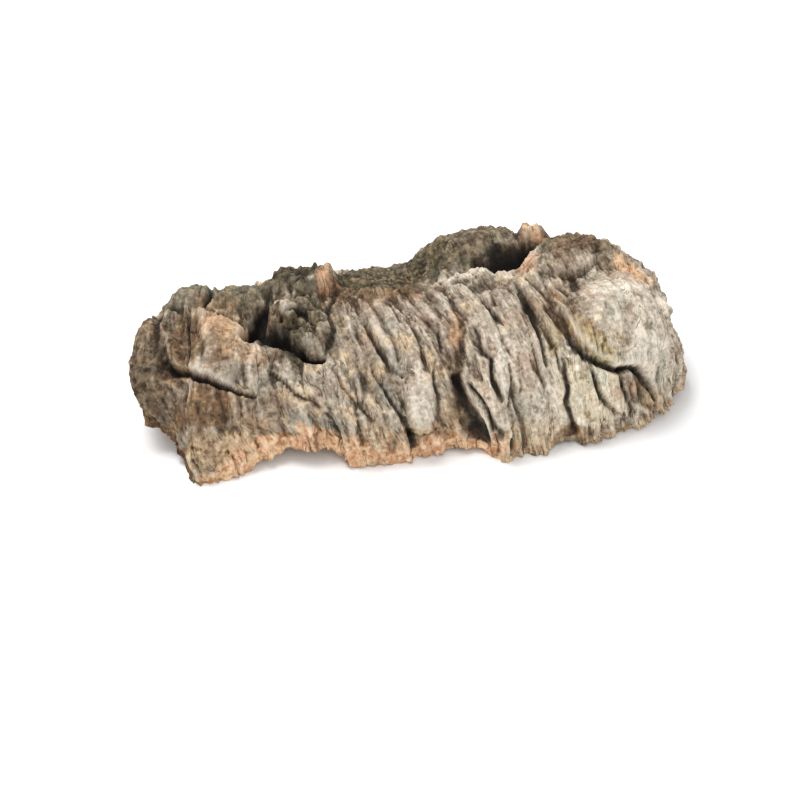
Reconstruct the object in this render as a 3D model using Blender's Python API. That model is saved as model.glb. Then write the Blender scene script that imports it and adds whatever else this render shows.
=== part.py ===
"""A piece of virgin cork bark: one arched, ragged shell, ridged and fissured outside and hollow below.

Lengths are in millimetres until the mesh is written, which scales them to metres.
x runs along the piece, y from its front edge to its back edge, and z up from the surface it lies on.
A place on the bark's outside is (x, a), where a is the way round the arch from its crest: below
zero towards the front foot, above zero towards the back foot.
"""

import bpy
import numpy as np
from mathutils import Vector, noise

MM = 0.001

# The arch. Each outline is a list of stations (x, value).
FRONT_FOOT_Y = [
    (-150, -40), (-137, -51), (-127, -55), (-120, -60), (-113, -85), (-104, -84), (-96, -79), (-80, -74),
    (-66, -66), (-48, -63), (-37, -65), (-28, -71), (-12, -68), (6, -62), (18, -59), (29, -58), (34, -60),
    (39, -66), (52, -66), (62, -61), (80, -53), (97, -52), (108, -42), (117, -40), (129, -30), (137, -23),
    (148, -12), (150, -8),
]
FRONT_FOOT_Z = [
    (-150, 16), (-130, 13), (-120, 6), (-114, -1), (-108, -2), (-94, -2), (-84, 1), (-76, 4), (-62, 8),
    (-45, 8), (-36, 3), (-28, 1), (-12, 0), (10, 1), (30, 3), (40, -1), (44, -2), (56, -2), (64, 0),
    (80, 2), (100, 1), (120, 2), (138, 5), (150, 9),
]
CREST_Y = [(-150, -4), (-120, -8), (-60, -4), (0, 2), (60, 14), (110, 22), (150, 14)]
CREST_Z = [
    (-150, 42), (-138, 49), (-120, 53), (-90, 54), (-50, 56), (0, 59), (50, 63), (90, 66), (115, 63),
    (130, 55), (142, 42), (150, 24),
]
BACK_FOOT_Y = [
    (-150, 22), (-130, 44), (-100, 58), (-40, 68), (20, 78), (80, 90), (110, 88), (130, 70), (142, 50),
    (150, 32),
]
BACK_FOOT_Z = [
    (-150, 14), (-128, 5), (-112, 0), (-106, -2), (-92, -2), (-84, 1), (-60, 5), (0, 7), (45, 4), (68, 0),
    (76, -2), (92, -2), (100, 1), (120, 5), (150, 9),
]
# The end edges: x against the share of the way round from the front foot to the back foot.
LEFT_END_X = [(0.0, -132), (0.1, -138), (0.25, -142), (0.4, -140), (0.55, -135), (0.75, -126), (1.0, -118)]
RIGHT_END_X = [(0.0, 148), (0.15, 149), (0.3, 150), (0.45, 148), (0.6, 140), (0.8, 127), (1.0, 111)]
CORNER_BLEND = 7.0
FOOT_BLEND = 2.5
END_BLEND = 0.05

# The wall, and the broken face along its edge.
WALL_AT_FOOT = 11.0
WALL_AT_CREST = 22.0
FRONT_BAND = [
    (-150, 3), (-112, 3), (-101, 5), (-88, 9), (-60, 7), (-45, 11), (-30, 6), (0, 4), (40, 5), (60, 3),
    (150, 3),
]
BAND_UNEVENNESS, BAND_WAVE_SIZE = 0.5, 6.0
END_REACH = 4.0
END_SINK = 5.0
FOOT_FLARE = 1.5
FOOT_SHARE = 0.06
BREAK_ROUGHNESS, BREAK_SIZE, BREAK_SINK = 1.0, 4.0, 0.7
INNER_WAVE, INNER_WAVE_SIZE = 1.6, 28.0

# How the ridges lean: how far one moves along x from the crest to the front foot, by its x at the crest,
# and how much of that is reached at each share of the way round.
LEAN = [(-140, 0), (-100, 8), (-60, 22), (0, 33), (60, 31), (100, 17), (140, 0)]
LEAN_SHARE = [(0.0, 1.0), (0.1, 0.97), (0.3, 0.62), (0.5, 0.0), (0.8, -0.7), (1.0, -0.75)]

# Humps and hollows: place x, a, half-sizes along and round, height, and the flat share of the top.
LUMPS = {
    "left lobe": (-136, -32, 10, 42, 4.0, 0.3),
    "left lobe's head": (-136, -8, 8, 12, 2.5, 0.4),
    "left panel": (-116, -20, 9, 24, -3.0, 0.5),
    "rear left lobe": (-113, 15, 15, 15, 8.0, 0.3),
    "rear middle lobe": (-88, 12, 14, 12, 6.0, 0.3),
    "upper knot": (-57, 19, 20, 15, 9.0, 0.75),
    "upper knot's corner": (-46, 18, 8, 12, 1.5, 0.7),
    "lower knot": (-57, -13, 15, 22, 7.0, 0.6),
    "lower knot's brow": (-66, -6, 7, 8, 3.0, 0.5),
    "lower knot's chin": (-52, -29, 9, 7, 4.5, 0.6),
    "lower knot's dent": (-61, -19, 6, 4, -4.5, 0.3),
    "smooth swelling": (6, -64, 8, 19, 2.6, 0.4),
    "rear lobe": (34, 40, 36, 22, 15.0, 0.35),
    "rear knob": (68, 34, 8, 9, 9.0, 0.55),
    "right rear lobe": (88, 20, 27, 22, 8.0, 0.4),
    "right dent": (84, -12, 9, 7, -3.5, 0.2),
    "right plate": (114, -36, 26, 26, 4.0, 0.6),
    "left flap hollow": (-76, -70, 22, 14, -3.0, 0.3),
    "crown dip": (40, -4, 8, 5, -3.0, 0.3),
    "lip of the crown hollow": (54, 8, 13, 9, -4.5, 0.2),
}

# Fissures: path of (x, a), half-width at its start and end, depth, and how far the bark stands proud
# beside it, above zero on the left of the path and below zero on its right.
FISSURES = {
    "long crack": ([(-128, -30), (-120, -38), (-107, -46), (-90, -52), (-77, -57)], (2.6, 0.9), 5.5, 2.4),
    "left valley": ([(-131, 4), (-131, -12), (-130, -26), (-125, -38)], (2.2, 4.4), 6.0, 0.0),
    "patch edge": ([(-110, 3), (-109, -12), (-106, -27), (-105, -38)], (1.2, 1.0), 1.5, 3.5),
    "panel's back edge": ([(-109, 2), (-100, -1), (-91, -6), (-84, -13)], (1.2, 1.8), 3.0, -1.5),
    "gap beside the knot": ([(-76, 1), (-78, -9), (-83, -20)], (3.4, 4.2), 14.0, 0.0),
    "gap below the knot": (
        [(-79, -14), (-70, -22), (-60, -29), (-51, -36), (-43, -37)], (4.4, 1.6), 14.0, 0.0,
    ),
    "knot's right side": ([(-43, -37), (-39, -20), (-42, -6), (-39, 8)], (1.4, 1.4), 2.4, 0.0),
    "knot's fold": ([(-68, -13), (-60, -9), (-53, -12), (-49, -20)], (1.2, 1.2), 3.5, 1.5),
    "knot's crease": ([(-60, -2), (-52, -3), (-44, -9)], (1.0, 1.4), 3.0, -1.5),
    "thin crack": ([(-22, -18), (-17, -32), (-10, -46), (-4, -52)], (1.1, 0.9), 3.5, 1.5),
    "middle groove": ([(-31, -27), (-27, -44), (-20, -57), (-12, -67)], (3.2, 2.6), 3.0, 0.0),
    "middle crack": ([(-18, -48), (-14, -55), (-9, -64), (-3, -73), (2, -84)], (1.1, 1.6), 4.5, 1.5),
    "short upper crack": ([(-11, -7), (-6, -20)], (0.9, 0.8), 2.2, 0.0),
    "short middle crack": ([(14, -23), (16, -38)], (0.9, 0.9), 2.4, 0.0),
    "crack beside the swelling": ([(13, -44), (12, -55), (16, -64)], (0.9, 0.9), 2.4, 0.0),
    "flap's crack": ([(-71, -42), (-65, -48), (-58, -56), (-50, -60)], (0.9, 0.9), 2.2, 1.0),
    "swelling's foot": ([(-4, -79), (6, -83), (18, -80)], (1.2, 1.2), 1.5, 3.0),
    "deep groove": (
        [(24, -53), (26, -62), (28, -69), (31, -77), (35, -86), (39, -97)], (2.4, 6.0), 11.0, 1.5,
    ),
    "groove's branch": ([(31, -58), (36, -67), (41, -76), (47, -87)], (0.9, 2.0), 4.5, 1.5),
    "brown groove": ([(21, -8), (24, -18), (27, -31), (27, -41), (25, -52), (26, -60)], (1.9, 2.4), 3.4, 0.0),
    "side groove": ([(34, -31), (37, -43), (42, -49), (43, -60), (47, -71)], (1.2, 1.6), 4.0, 0.0),
    "upper crack": ([(37, -15), (42, -23), (47, -31)], (1.2, 1.2), 3.0, 0.0),
    "crown crack": (
        [(54, 1), (57, -6), (61, -18), (64, -29), (66, -36), (68, -44), (70, -56)], (2.4, 1.4), 5.5, 1.0,
    ),
    "crown hollow": ([(37, 17), (48, 18), (58, 20), (67, 24)], (5.0, 4.4), 14.0, 0.0),
    "crown rim": ([(8, 24), (22, 17), (35, 11), (50, 4), (62, -1)], (1.2, 1.2), 0.5, -3.5),
    "right crack": (
        [(72, -25), (78, -35), (84, -46), (90, -55), (97, -60), (106, -63), (114, -62), (122, -65),
         (128, -72), (131, -80)],
        (2.8, 1.8), 5.8, 3.6,
    ),
    "right hollow": ([(120, -64), (122, -80)], (4.4, 3.6), 6.5, 0.0),
    "rear lobe's brow": ([(66, 2), (78, -5), (90, -5), (101, 4)], (1.4, 1.4), 1.5, 4.0),
    "between the rear lobes": ([(-102, 28), (-104, 12), (-106, 2)], (1.6, 1.8), 4.5, 0.0),
    "behind the left lobe": ([(-137, 3), (-130, 6), (-124, 6), (-118, 4)], (1.2, 1.4), 3.5, 0.0),
    "foot notch": ([(53, -92), (55, -104)], (1.6, 3.0), 5.0, 0.0),
    "left foot notch": ([(1, -80), (3, -94)], (1.6, 2.6), 5.5, 0.0),
    "first right cleft": ([(79, -54), (81, -66), (82, -80), (87, -97)], (1.1, 1.9), 4.0, 1.5),
    "second right cleft": ([(92, -59), (95, -67), (100, -78), (108, -89)], (1.0, 1.7), 3.6, 1.5),
    "third right cleft": ([(108, -62), (110, -73), (115, -85)], (1.0, 1.5), 3.2, 1.0),
}
PROUD_REACH = 14.0
LIP_RUN = 0.9
FISSURE_END = 0.12
FISSURE_FLOOR, FISSURE_EDGE = 0.3, 1.4
FISSURE_WANDER, FISSURE_WANDER_SIZE = 1.1, 8.0
FISSURE_STRAY = 0.5
LUMP_EDGE = 1.25

# Plates of cork between narrow clefts: width, length, cleft half-width, cleft depth, and step between plates.
BROAD_PLATES = (9.5, 62.0, 1.2, 3.2, 2.0)
NARROW_PLATES = (3.8, 24.0, 0.8, 1.1, 0.9)
BLOCKS = (9.0, 10.0, 1.1, 2.4, 2.6)
PLATE_TILT, PLATE_LEVEL, PLATE_TONES = 0.35, 0.3, 9.7
# How deep the clefts stay everywhere, the size of the spots where they open, and how sharply they open.
CLEFT_SHARE, CLEFT_SPOT_ALONG, CLEFT_SPOT_AROUND, CLEFT_OPENS = 0.28, 12.0, 22.0, (-0.12, 0.22)
# How the ridge lines waver: how far, and over what length along and round.
LONG_WAVER = (2.6, 30.0, 26.0)
SHORT_WAVER = (1.1, 9.0, 14.0)
# Where the bark is plain: place x, a, half-sizes along and round, and how far its ridges fade.
PLAIN_PLACES = [
    (114, -28, 30, 32, 0.75), (-97, -30, 14, 26, 0.75), (6, -65, 8, 17, 0.8), (-64, -4, 10, 8, 0.7),
    (93, -76, 24, 18, 0.65), (-104, -66, 18, 14, 0.4), (-64, -64, 16, 16, 0.35),
]
# Where the bark is crumbly instead of ridged: place x, a, half-sizes along and round, and how blocky it is.
CRUMBLY_PLACES = [(-56, 18, 20, 18, 0.35), (-57, -14, 17, 24, 1.0), (-100, 18, 32, 20, 0.25)]
# The crumbly crown: where it starts and ends along x and round the arch, and how blocky it is.
CROWN_LEFT, CROWN_FRONT, CROWN_BACK, CROWN_BLOCKS = (-45, -35), (-2, 8), (50, 66), 0.3
CRUMB_SIZE, CRUMB_HEIGHT = 5.0, 1.9
FINE_CRUMB_SIZE, FINE_CRUMB_SHARE = 2.2, 0.45
RIDGES_WHERE_CRUMBLY, CRUMBS_WHERE_RIDGED = 0.15, 0.25
BROAD_WAVE, BROAD_WAVE_SIZE = 3.0, 34.0
DEEPEST_SHARE = 0.72

COLUMNS = 210
ROWS = 150
INNER_STEP = 3
BAND_ROWS = 3
SOLE_ROWS = 2
TRIANGLES = 11400
FOOT_SNAP = 0.25

BARK_COLOUR = (0.30, 0.24, 0.18)
BARK_ROUGHNESS = 0.9


def rail(stations, at, blend=CORNER_BLEND):
    """A station list read at any place, with its corners rounded over the blend length."""
    places, values = zip(*stations)
    spread = np.linspace(-blend, blend, 9)
    return np.mean([np.interp(at + d, places, values) for d in spread], axis=0)


def smooth(low, high, at):
    """0 below low, 1 above high, and a smooth rise between."""
    t = np.clip((at - low) / (high - low), 0, 1)
    return t * t * (3 - 2 * t)


def perlin(*axes):
    """Perlin noise at points given as arrays of x, y and z, each already divided by the wanted size."""
    points = np.stack(np.broadcast_arrays(*axes), axis=-1)
    flat = [noise.noise(Vector(p)) for p in points.reshape(-1, 3)]
    return np.array(flat).reshape(points.shape[:-1])


def crest_x(u):
    """Where the ridge line at share u along the arch crosses the crest."""
    left, right = rail(LEFT_END_X, 0.5, END_BLEND), rail(RIGHT_END_X, 0.5, END_BLEND)
    return left + (right - left) * u


def arch(u, v, inner=False):
    """Points of the smooth arch, or of its inner side, at shares u along it and v round it."""
    left, right = rail(LEFT_END_X, v, END_BLEND), rail(RIGHT_END_X, v, END_BLEND)
    lean = rail(LEAN, crest_x(u), 2 * CORNER_BLEND) - rail(LEAN, crest_x(0 * u), 2 * CORNER_BLEND)
    x = left + (right - left) * u + lean * rail(LEAN_SHARE, v, END_BLEND)
    side, rise = np.cos(np.pi * v), np.sin(np.pi * v)
    wall_foot, wall_crest = (WALL_AT_FOOT, WALL_AT_CREST) if inner else (0.0, 0.0)
    front = rail(FRONT_FOOT_Y, x, FOOT_BLEND) + wall_foot
    back = rail(BACK_FOOT_Y, x) - wall_foot
    crest = rail(CREST_Y, x)
    y = crest - np.where(side > 0, crest - front, back - crest) * side
    band = 0.0 if inner else front_band(x)
    foot = np.where(side > 0, rail(FRONT_FOOT_Z, x, FOOT_BLEND), rail(BACK_FOOT_Z, x)) + band
    z = foot + (rail(CREST_Z, x) - wall_crest - foot) * rise
    return np.stack([x, y, z], axis=-1)


def front_band(x):
    """Height of the broken face along the front edge."""
    return rail(FRONT_BAND, x) * (1 + BAND_UNEVENNESS * perlin(x / BAND_WAVE_SIZE, 0.5, 2.5))


def inner_side(u, v):
    """Points of the hollow's own surface, gently waved, and cut level where a foot stands."""
    surface = arch(u, v, inner=True)
    surface[..., 2] += INNER_WAVE * perlin(*np.moveaxis(surface / INNER_WAVE_SIZE, -1, 0)) * np.sin(np.pi * v)
    surface[..., 2] = np.maximum(surface[..., 2], 0)
    return surface


def outward(surface):
    """Unit normals of a grid of points, pointing out of the bark."""
    normal = np.cross(np.gradient(surface, axis=0), np.gradient(surface, axis=1))
    return normal / np.linalg.norm(normal, axis=-1, keepdims=True)


def way_from_crest(surface):
    """How far each grid point lies round the arch from its crest, below zero at the front."""
    steps = np.linalg.norm(np.diff(surface[..., 1:], axis=1), axis=-1)
    way = np.concatenate([np.zeros((len(surface), 1)), np.cumsum(steps, axis=1)], axis=1)
    return way - way[:, [way.shape[1] // 2]]


def near(x, a, place_x, place_a, along, around, full=0.7, gone=1.15):
    """1 near a place, fading to 0 about its half-sizes along and round."""
    return 1 - smooth(full, gone, np.hypot((x - place_x) / along, (a - place_a) / around))


def lumps(x, a):
    return sum(rise * near(x, a, *place, flat, LUMP_EDGE) for *place, rise, flat in LUMPS.values())


def from_path(x, a, path):
    """How far each place lies from a path, on which side of it, and at what share of its length."""
    nearest = np.full_like(x, 1e9)
    side = np.zeros_like(x)
    share = np.zeros_like(x)
    for n, ((x0, a0), (x1, a1)) in enumerate(zip(path, path[1:])):
        dx, da = x1 - x0, a1 - a0
        held = np.clip(((x - x0) * dx + (a - a0) * da) / (dx * dx + da * da), 0, 1)
        away = np.hypot(x - x0 - held * dx, a - a0 - held * da)
        closer = away < nearest
        nearest = np.where(closer, away, nearest)
        side = np.where(closer, np.sign(dx * (a - a0) - da * (x - x0)), side)
        share = np.where(closer, (n + held) / (len(path) - 1), share)
    return nearest, side, share


def fissure(x, a, path, half_widths, depth, proud):
    """One fissure: a groove cut along its path, with the bark proud on one side of it."""
    nearest, side, share = from_path(x, a, path)
    half_width = half_widths[0] + (half_widths[1] - half_widths[0]) * share
    cut = depth * (1 - smooth(FISSURE_FLOOR, FISSURE_EDGE, nearest / half_width))
    cut *= np.sqrt(np.sin(np.pi * (FISSURE_END + (1 - 2 * FISSURE_END) * share)))
    lip = abs(proud) * np.sqrt(np.sin(np.pi * share)) * np.exp(-nearest / PROUD_REACH)
    lip *= smooth(-LIP_RUN, LIP_RUN, side * nearest * np.sign(proud))
    return lip - cut


def plates(q, a, layer, width, length, cleft, depth, step):
    """Long plates of cork, each at its own height and tilt, and the narrow clefts round them."""
    tops, clefts = np.empty(q.size), np.empty(q.size)
    for k, (across, along) in enumerate(zip(q.ravel() / width, a.ravel() / length)):
        place = Vector((across, along, layer))
        own, other = noise.voronoi(place)[1][:2]
        gap = (other - own).normalized()
        border = ((own + other) / 2 - place).dot(gap) / np.hypot(gap.x / width, gap.y / length)
        here, beyond = (plate_top(seed, across, width, step) for seed in (own, other))
        share = 0.5 + 0.5 * min(1.0, border / cleft)
        tops[k] = share * here + (1 - share) * beyond
        clefts[k] = depth * max(0.0, 1 - border / (2 * cleft)) ** 1.5
    return tops.reshape(q.shape), clefts.reshape(q.shape)


def plate_top(seed, across, width, step):
    """Height of one plate's tilted top."""
    tone = noise.cell(seed * PLATE_TONES)
    return step * (tone - 0.5) + PLATE_TILT * (tone - PLATE_LEVEL) * (across - seed.x) * width


def waver(x, a):
    """How far the ridge lines stray sideways."""
    return sum(
        far * perlin(x / along, a / around, 4.0 * n + 0.5)
        for n, (far, along, around) in enumerate((LONG_WAVER, SHORT_WAVER))
    )


def strayed(x, a):
    """The places that the fissures are laid out on, a little off the true ones so that they wander."""
    wander = FISSURE_WANDER * perlin(x / FISSURE_WANDER_SIZE, a / FISSURE_WANDER_SIZE, 12.5)
    return x + FISSURE_STRAY * waver(x, a) + wander, a - wander


def relief(x, a, q, points):
    """Height of the bark's outside above the smooth arch, at ridge lines q."""
    stray = waver(x, a)
    broad_tops, broad_clefts = plates(q + stray, a, 0.5, *BROAD_PLATES)
    narrow_tops, narrow_clefts = plates(q + stray, a, 3.5, *NARROW_PLATES)
    blocks, block_clefts = plates(x + stray, a - 2 * stray, 8.5, *BLOCKS)
    opened = smooth(*CLEFT_OPENS, perlin(x / CLEFT_SPOT_ALONG, a / CLEFT_SPOT_AROUND, 2.5))
    broad_clefts *= CLEFT_SHARE + (1 - CLEFT_SHARE) * opened
    crumbly, blocky = crumbliness(x, a)
    ridged = broad_tops + narrow_tops - broad_clefts - narrow_clefts
    ridged *= (1 - (1 - RIDGES_WHERE_CRUMBLY) * crumbly) * (1 - plainness(x, a))
    grid = points / CRUMB_SIZE
    crumbs = perlin(*np.moveaxis(grid, -1, 0))
    crumbs += FINE_CRUMB_SHARE * perlin(*np.moveaxis(grid * CRUMB_SIZE / FINE_CRUMB_SIZE, -1, 0))
    crumbs *= CRUMB_HEIGHT * (CRUMBS_WHERE_RIDGED + (1 - CRUMBS_WHERE_RIDGED) * crumbly)
    height = lumps(x, a) + BROAD_WAVE * perlin(x / BROAD_WAVE_SIZE, a / BROAD_WAVE_SIZE, 9.5)
    height += ridged + crumbs + (blocks - block_clefts) * blocky
    laid_x, laid_a = strayed(x, a)
    for path, half_widths, depth, proud in FISSURES.values():
        height += fissure(laid_x, laid_a, path, half_widths, depth, proud)
    return height


def plainness(x, a):
    """How plain the bark is at each place, from 0 to 1."""
    return np.max([share * near(x, a, *place) for *place, share in PLAIN_PLACES], axis=0)


def crumbliness(x, a):
    """How crumbly the bark is at each place, and how much it is broken into blocks, from 0 to 1."""
    crown = smooth(*CROWN_FRONT, a) * (1 - smooth(*CROWN_BACK, a)) * smooth(*CROWN_LEFT, x)
    crumbly, blocky = crown, CROWN_BLOCKS * crown
    for *place, blocks in CRUMBLY_PLACES:
        here = near(x, a, *place)
        crumbly = crumbly + here
        blocky = blocky + blocks * here
    return np.clip(crumbly, 0, 1), np.clip(blocky, 0, 1)


def border(grid):
    """The border of a grid, once round: the front foot, the right end, the back foot, and the left end."""
    return np.concatenate([grid[:-1, 0], grid[-1, :-1], grid[:0:-1, -1], grid[0, :0:-1]])


def broken_edge(outer, base, normal, u, v):
    """Rows of points round the edge, from the outside's border down the broken face and in below."""
    side_v = border(v)
    away = border(base) - border(np.pad(base[1:-1, 1:-1], ((1, 1), (1, 1), (0, 0)), mode="edge"))
    away /= np.linalg.norm(away, axis=-1, keepdims=True)
    top, facing = border(outer), border(normal)
    at_foot = 1 - smooth(0.0, FOOT_SHARE, np.minimum(side_v, 1 - side_v))
    reach = END_REACH + (front_band(top[:, 0]) - END_REACH) * at_foot
    sink = END_SINK * (1 - at_foot) - FOOT_FLARE * at_foot
    shake = BREAK_ROUGHNESS * perlin(*(top / BREAK_SIZE).T)
    corner = top + away * (reach + shake)[:, None] - facing * (sink + BREAK_SINK * shake)[:, None]
    corner[:, 2] = np.maximum(corner[:, 2], 0)
    rows = []
    for n in range(1, BAND_ROWS):
        crumb = BREAK_ROUGHNESS * perlin(*(top / BREAK_SIZE + n).T)
        rows.append(top + (corner - top) * n / BAND_ROWS + facing * crumb[:, None])
    inner_edge = inner_side(border(u), side_v)
    rows += [corner + (inner_edge - corner) * n / SOLE_ROWS for n in range(SOLE_ROWS)]
    return np.array(rows)


def ring_faces(outer_ring, inner_ring):
    """Quads between two rings of as many points."""
    a, b = outer_ring, inner_ring
    return np.stack([np.roll(a, -1), a, b, np.roll(b, -1)], axis=-1).tolist()


def stitch_faces(fine, coarse, step):
    """Triangles between a ring of points and one that has a point for every step of them."""
    faces = []
    for m in range(len(coarse)):
        ends = coarse[m], coarse[(m + 1) % len(coarse)]
        turn = (step + 1) // 2
        for t in range(step):
            k = m * step + t
            faces.append((fine[(k + 1) % len(fine)], fine[k], ends[0] if t < turn else ends[1]))
        faces.append((fine[m * step + turn], *ends))
    return faces


def grid_faces(index, flip=False):
    quads = np.stack([index[:-1, :-1], index[1:, :-1], index[1:, 1:], index[:-1, 1:]], axis=-1).reshape(-1, 4)
    return (quads[:, ::-1] if flip else quads).tolist()


def shell():
    """Points and faces of the whole closed shell."""
    u, v = np.meshgrid(np.linspace(0, 1, COLUMNS + 1), np.linspace(0, 1, ROWS + 1), indexing="ij")
    base = arch(u, v)
    normal = outward(base)
    height = relief(base[..., 0], way_from_crest(base), crest_x(u), base)
    deepest = DEEPEST_SHARE * (WALL_AT_FOOT + (WALL_AT_CREST - WALL_AT_FOOT) * np.sin(np.pi * v))
    height = np.where(height < 0, -deepest * np.tanh(-height / deepest), height)
    outer = base + normal * height[..., None]
    edge = broken_edge(outer, base, normal, u, v)
    inner = inner_side(u[::INNER_STEP, ::INNER_STEP], v[::INNER_STEP, ::INNER_STEP])
    points = np.concatenate([outer.reshape(-1, 3), edge.reshape(-1, 3), inner.reshape(-1, 3)])
    outer_index = np.arange(outer[..., 0].size).reshape(outer.shape[:2])
    edge_index = outer_index.size + np.arange(edge[..., 0].size).reshape(edge.shape[:2])
    inner_index = outer_index.size + edge_index.size + np.arange(inner[..., 0].size).reshape(inner.shape[:2])
    rings = [border(outer_index), *edge_index]
    faces = grid_faces(outer_index) + grid_faces(inner_index, flip=True)
    for ring, following in zip(rings, rings[1:]):
        faces += ring_faces(ring, following)
    faces += stitch_faces(rings[-1], border(inner_index), INNER_STEP)
    return points, faces


def thinned(points, faces):
    """The mesh with fewer triangles, kept where the ridges and fissures need them."""
    fine = bpy.data.meshes.new("fine bark")
    fine.from_pydata(points.tolist(), [], faces)
    fine.calc_loop_triangles()
    carrier = bpy.data.objects.new("fine bark", fine)
    bpy.context.scene.collection.objects.link(carrier)
    fewer = carrier.modifiers.new("fewer triangles", "DECIMATE")
    fewer.ratio = TRIANGLES / len(fine.loop_triangles)
    fewer.use_collapse_triangulate = True
    mesh = bpy.data.meshes.new_from_object(carrier.evaluated_get(bpy.context.evaluated_depsgraph_get()))
    bpy.data.objects.remove(carrier)
    bpy.data.meshes.remove(fine)
    return mesh


def settle(mesh):
    """Level the feet, put the origin under the middle of the piece, and turn millimetres into metres."""
    points = np.array([vertex.co for vertex in mesh.vertices])
    points[points[:, 2] < FOOT_SNAP, 2] = 0
    low, high = points.min(axis=0), points.max(axis=0)
    points -= [(low[0] + high[0]) / 2, (low[1] + high[1]) / 2, 0]
    mesh.vertices.foreach_set("co", (points * MM).ravel())
    mesh.update()


def bark_material():
    material = bpy.data.materials.new("bark")
    material.use_nodes = True
    shader = material.node_tree.nodes["Principled BSDF"]
    shader.inputs["Base Color"].default_value = (*BARK_COLOUR, 1.0)
    shader.inputs["Roughness"].default_value = BARK_ROUGHNESS
    shader.inputs["Metallic"].default_value = 0.0
    return material


def main():
    for obj in list(bpy.data.objects):
        bpy.data.objects.remove(obj)
    mesh = thinned(*shell())
    settle(mesh)
    mesh.name = "bark"
    mesh.materials.append(bark_material())
    bark = bpy.data.objects.new("bark", mesh)
    collection = bpy.data.collections.new("cork bark")
    bpy.context.scene.collection.children.link(collection)
    collection.objects.link(bark)


main()
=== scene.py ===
"""A piece of virgin cork bark lying convex side up on a pale floor, in soft light.

Lengths of the bark are in millimetres until its meshes are written, which scales them to metres.
x runs along the piece, y from its front edge to its back edge, and z up from the floor.
A place on the bark's outside is (x, a), where a is the way round the arch from its crest: below
zero towards the front foot, above zero towards the back foot.
"""

import math

import bpy
import numpy as np
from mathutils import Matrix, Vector, noise


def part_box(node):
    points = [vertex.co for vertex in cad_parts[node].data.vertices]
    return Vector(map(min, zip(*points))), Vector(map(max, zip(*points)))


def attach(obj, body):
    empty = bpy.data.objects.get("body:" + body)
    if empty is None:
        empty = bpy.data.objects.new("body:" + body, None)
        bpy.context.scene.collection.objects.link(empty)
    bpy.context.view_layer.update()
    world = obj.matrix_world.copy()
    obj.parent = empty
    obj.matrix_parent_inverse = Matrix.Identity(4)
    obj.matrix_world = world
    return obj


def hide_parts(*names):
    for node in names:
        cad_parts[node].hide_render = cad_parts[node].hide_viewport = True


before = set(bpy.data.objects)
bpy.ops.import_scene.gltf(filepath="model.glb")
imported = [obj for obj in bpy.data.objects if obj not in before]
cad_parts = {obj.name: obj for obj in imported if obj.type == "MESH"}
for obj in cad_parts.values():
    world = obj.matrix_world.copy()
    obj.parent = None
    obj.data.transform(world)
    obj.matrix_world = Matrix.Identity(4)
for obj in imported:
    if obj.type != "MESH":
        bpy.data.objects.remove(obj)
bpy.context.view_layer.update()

MM = 0.001

# The arch. Each outline is a list of stations (x, value).
FRONT_FOOT_Y = [
    (-150, -40), (-137, -51), (-127, -55), (-120, -60), (-113, -85), (-104, -84), (-96, -79), (-80, -74),
    (-66, -66), (-48, -63), (-37, -65), (-28, -71), (-12, -68), (6, -62), (18, -59), (29, -58), (34, -60),
    (39, -66), (52, -66), (62, -61), (80, -53), (97, -52), (108, -42), (117, -40), (129, -30), (137, -23),
    (148, -12), (150, -8),
]
FRONT_FOOT_Z = [
    (-150, 16), (-130, 13), (-120, 6), (-114, -1), (-108, -2), (-94, -2), (-84, 1), (-76, 4), (-62, 8),
    (-45, 8), (-36, 3), (-28, 1), (-12, 0), (10, 1), (30, 3), (40, -1), (44, -2), (56, -2), (64, 0),
    (80, 2), (100, 1), (120, 2), (138, 5), (150, 9),
]
CREST_Y = [(-150, -4), (-120, -8), (-60, -4), (0, 2), (60, 14), (110, 22), (150, 14)]
CREST_Z = [
    (-150, 42), (-138, 49), (-120, 53), (-90, 54), (-50, 56), (0, 59), (50, 63), (90, 66), (115, 63),
    (130, 55), (142, 42), (150, 24),
]
BACK_FOOT_Y = [
    (-150, 22), (-130, 44), (-100, 58), (-40, 68), (20, 78), (80, 90), (110, 88), (130, 70), (142, 50),
    (150, 32),
]
BACK_FOOT_Z = [
    (-150, 14), (-128, 5), (-112, 0), (-106, -2), (-92, -2), (-84, 1), (-60, 5), (0, 7), (45, 4), (68, 0),
    (76, -2), (92, -2), (100, 1), (120, 5), (150, 9),
]
# The end edges: x against the share of the way round from the front foot to the back foot.
LEFT_END_X = [(0.0, -132), (0.1, -138), (0.25, -142), (0.4, -140), (0.55, -135), (0.75, -126), (1.0, -118)]
RIGHT_END_X = [(0.0, 148), (0.15, 149), (0.3, 150), (0.45, 148), (0.6, 140), (0.8, 127), (1.0, 111)]
CORNER_BLEND = 7.0
FOOT_BLEND = 2.5
END_BLEND = 0.05

# The wall, and the broken face along its edge.
WALL_AT_FOOT = 11.0
WALL_AT_CREST = 22.0
FRONT_BAND = [
    (-150, 3), (-112, 3), (-101, 5), (-88, 9), (-60, 7), (-45, 11), (-30, 6), (0, 4), (40, 5), (60, 3),
    (150, 3),
]
BAND_UNEVENNESS, BAND_WAVE_SIZE = 0.5, 6.0
END_REACH = 4.0
END_SINK = 5.0
FOOT_FLARE = 1.5
FOOT_SHARE = 0.06
BREAK_ROUGHNESS, BREAK_SIZE, BREAK_SINK = 1.0, 4.0, 0.7
INNER_WAVE, INNER_WAVE_SIZE = 1.6, 28.0

# How the ridges lean: how far one moves along x from the crest to the front foot, by its x at the crest,
# and how much of that is reached at each share of the way round.
LEAN = [(-140, 0), (-100, 8), (-60, 22), (0, 33), (60, 31), (100, 17), (140, 0)]
LEAN_SHARE = [(0.0, 1.0), (0.1, 0.97), (0.3, 0.62), (0.5, 0.0), (0.8, -0.7), (1.0, -0.75)]

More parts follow.
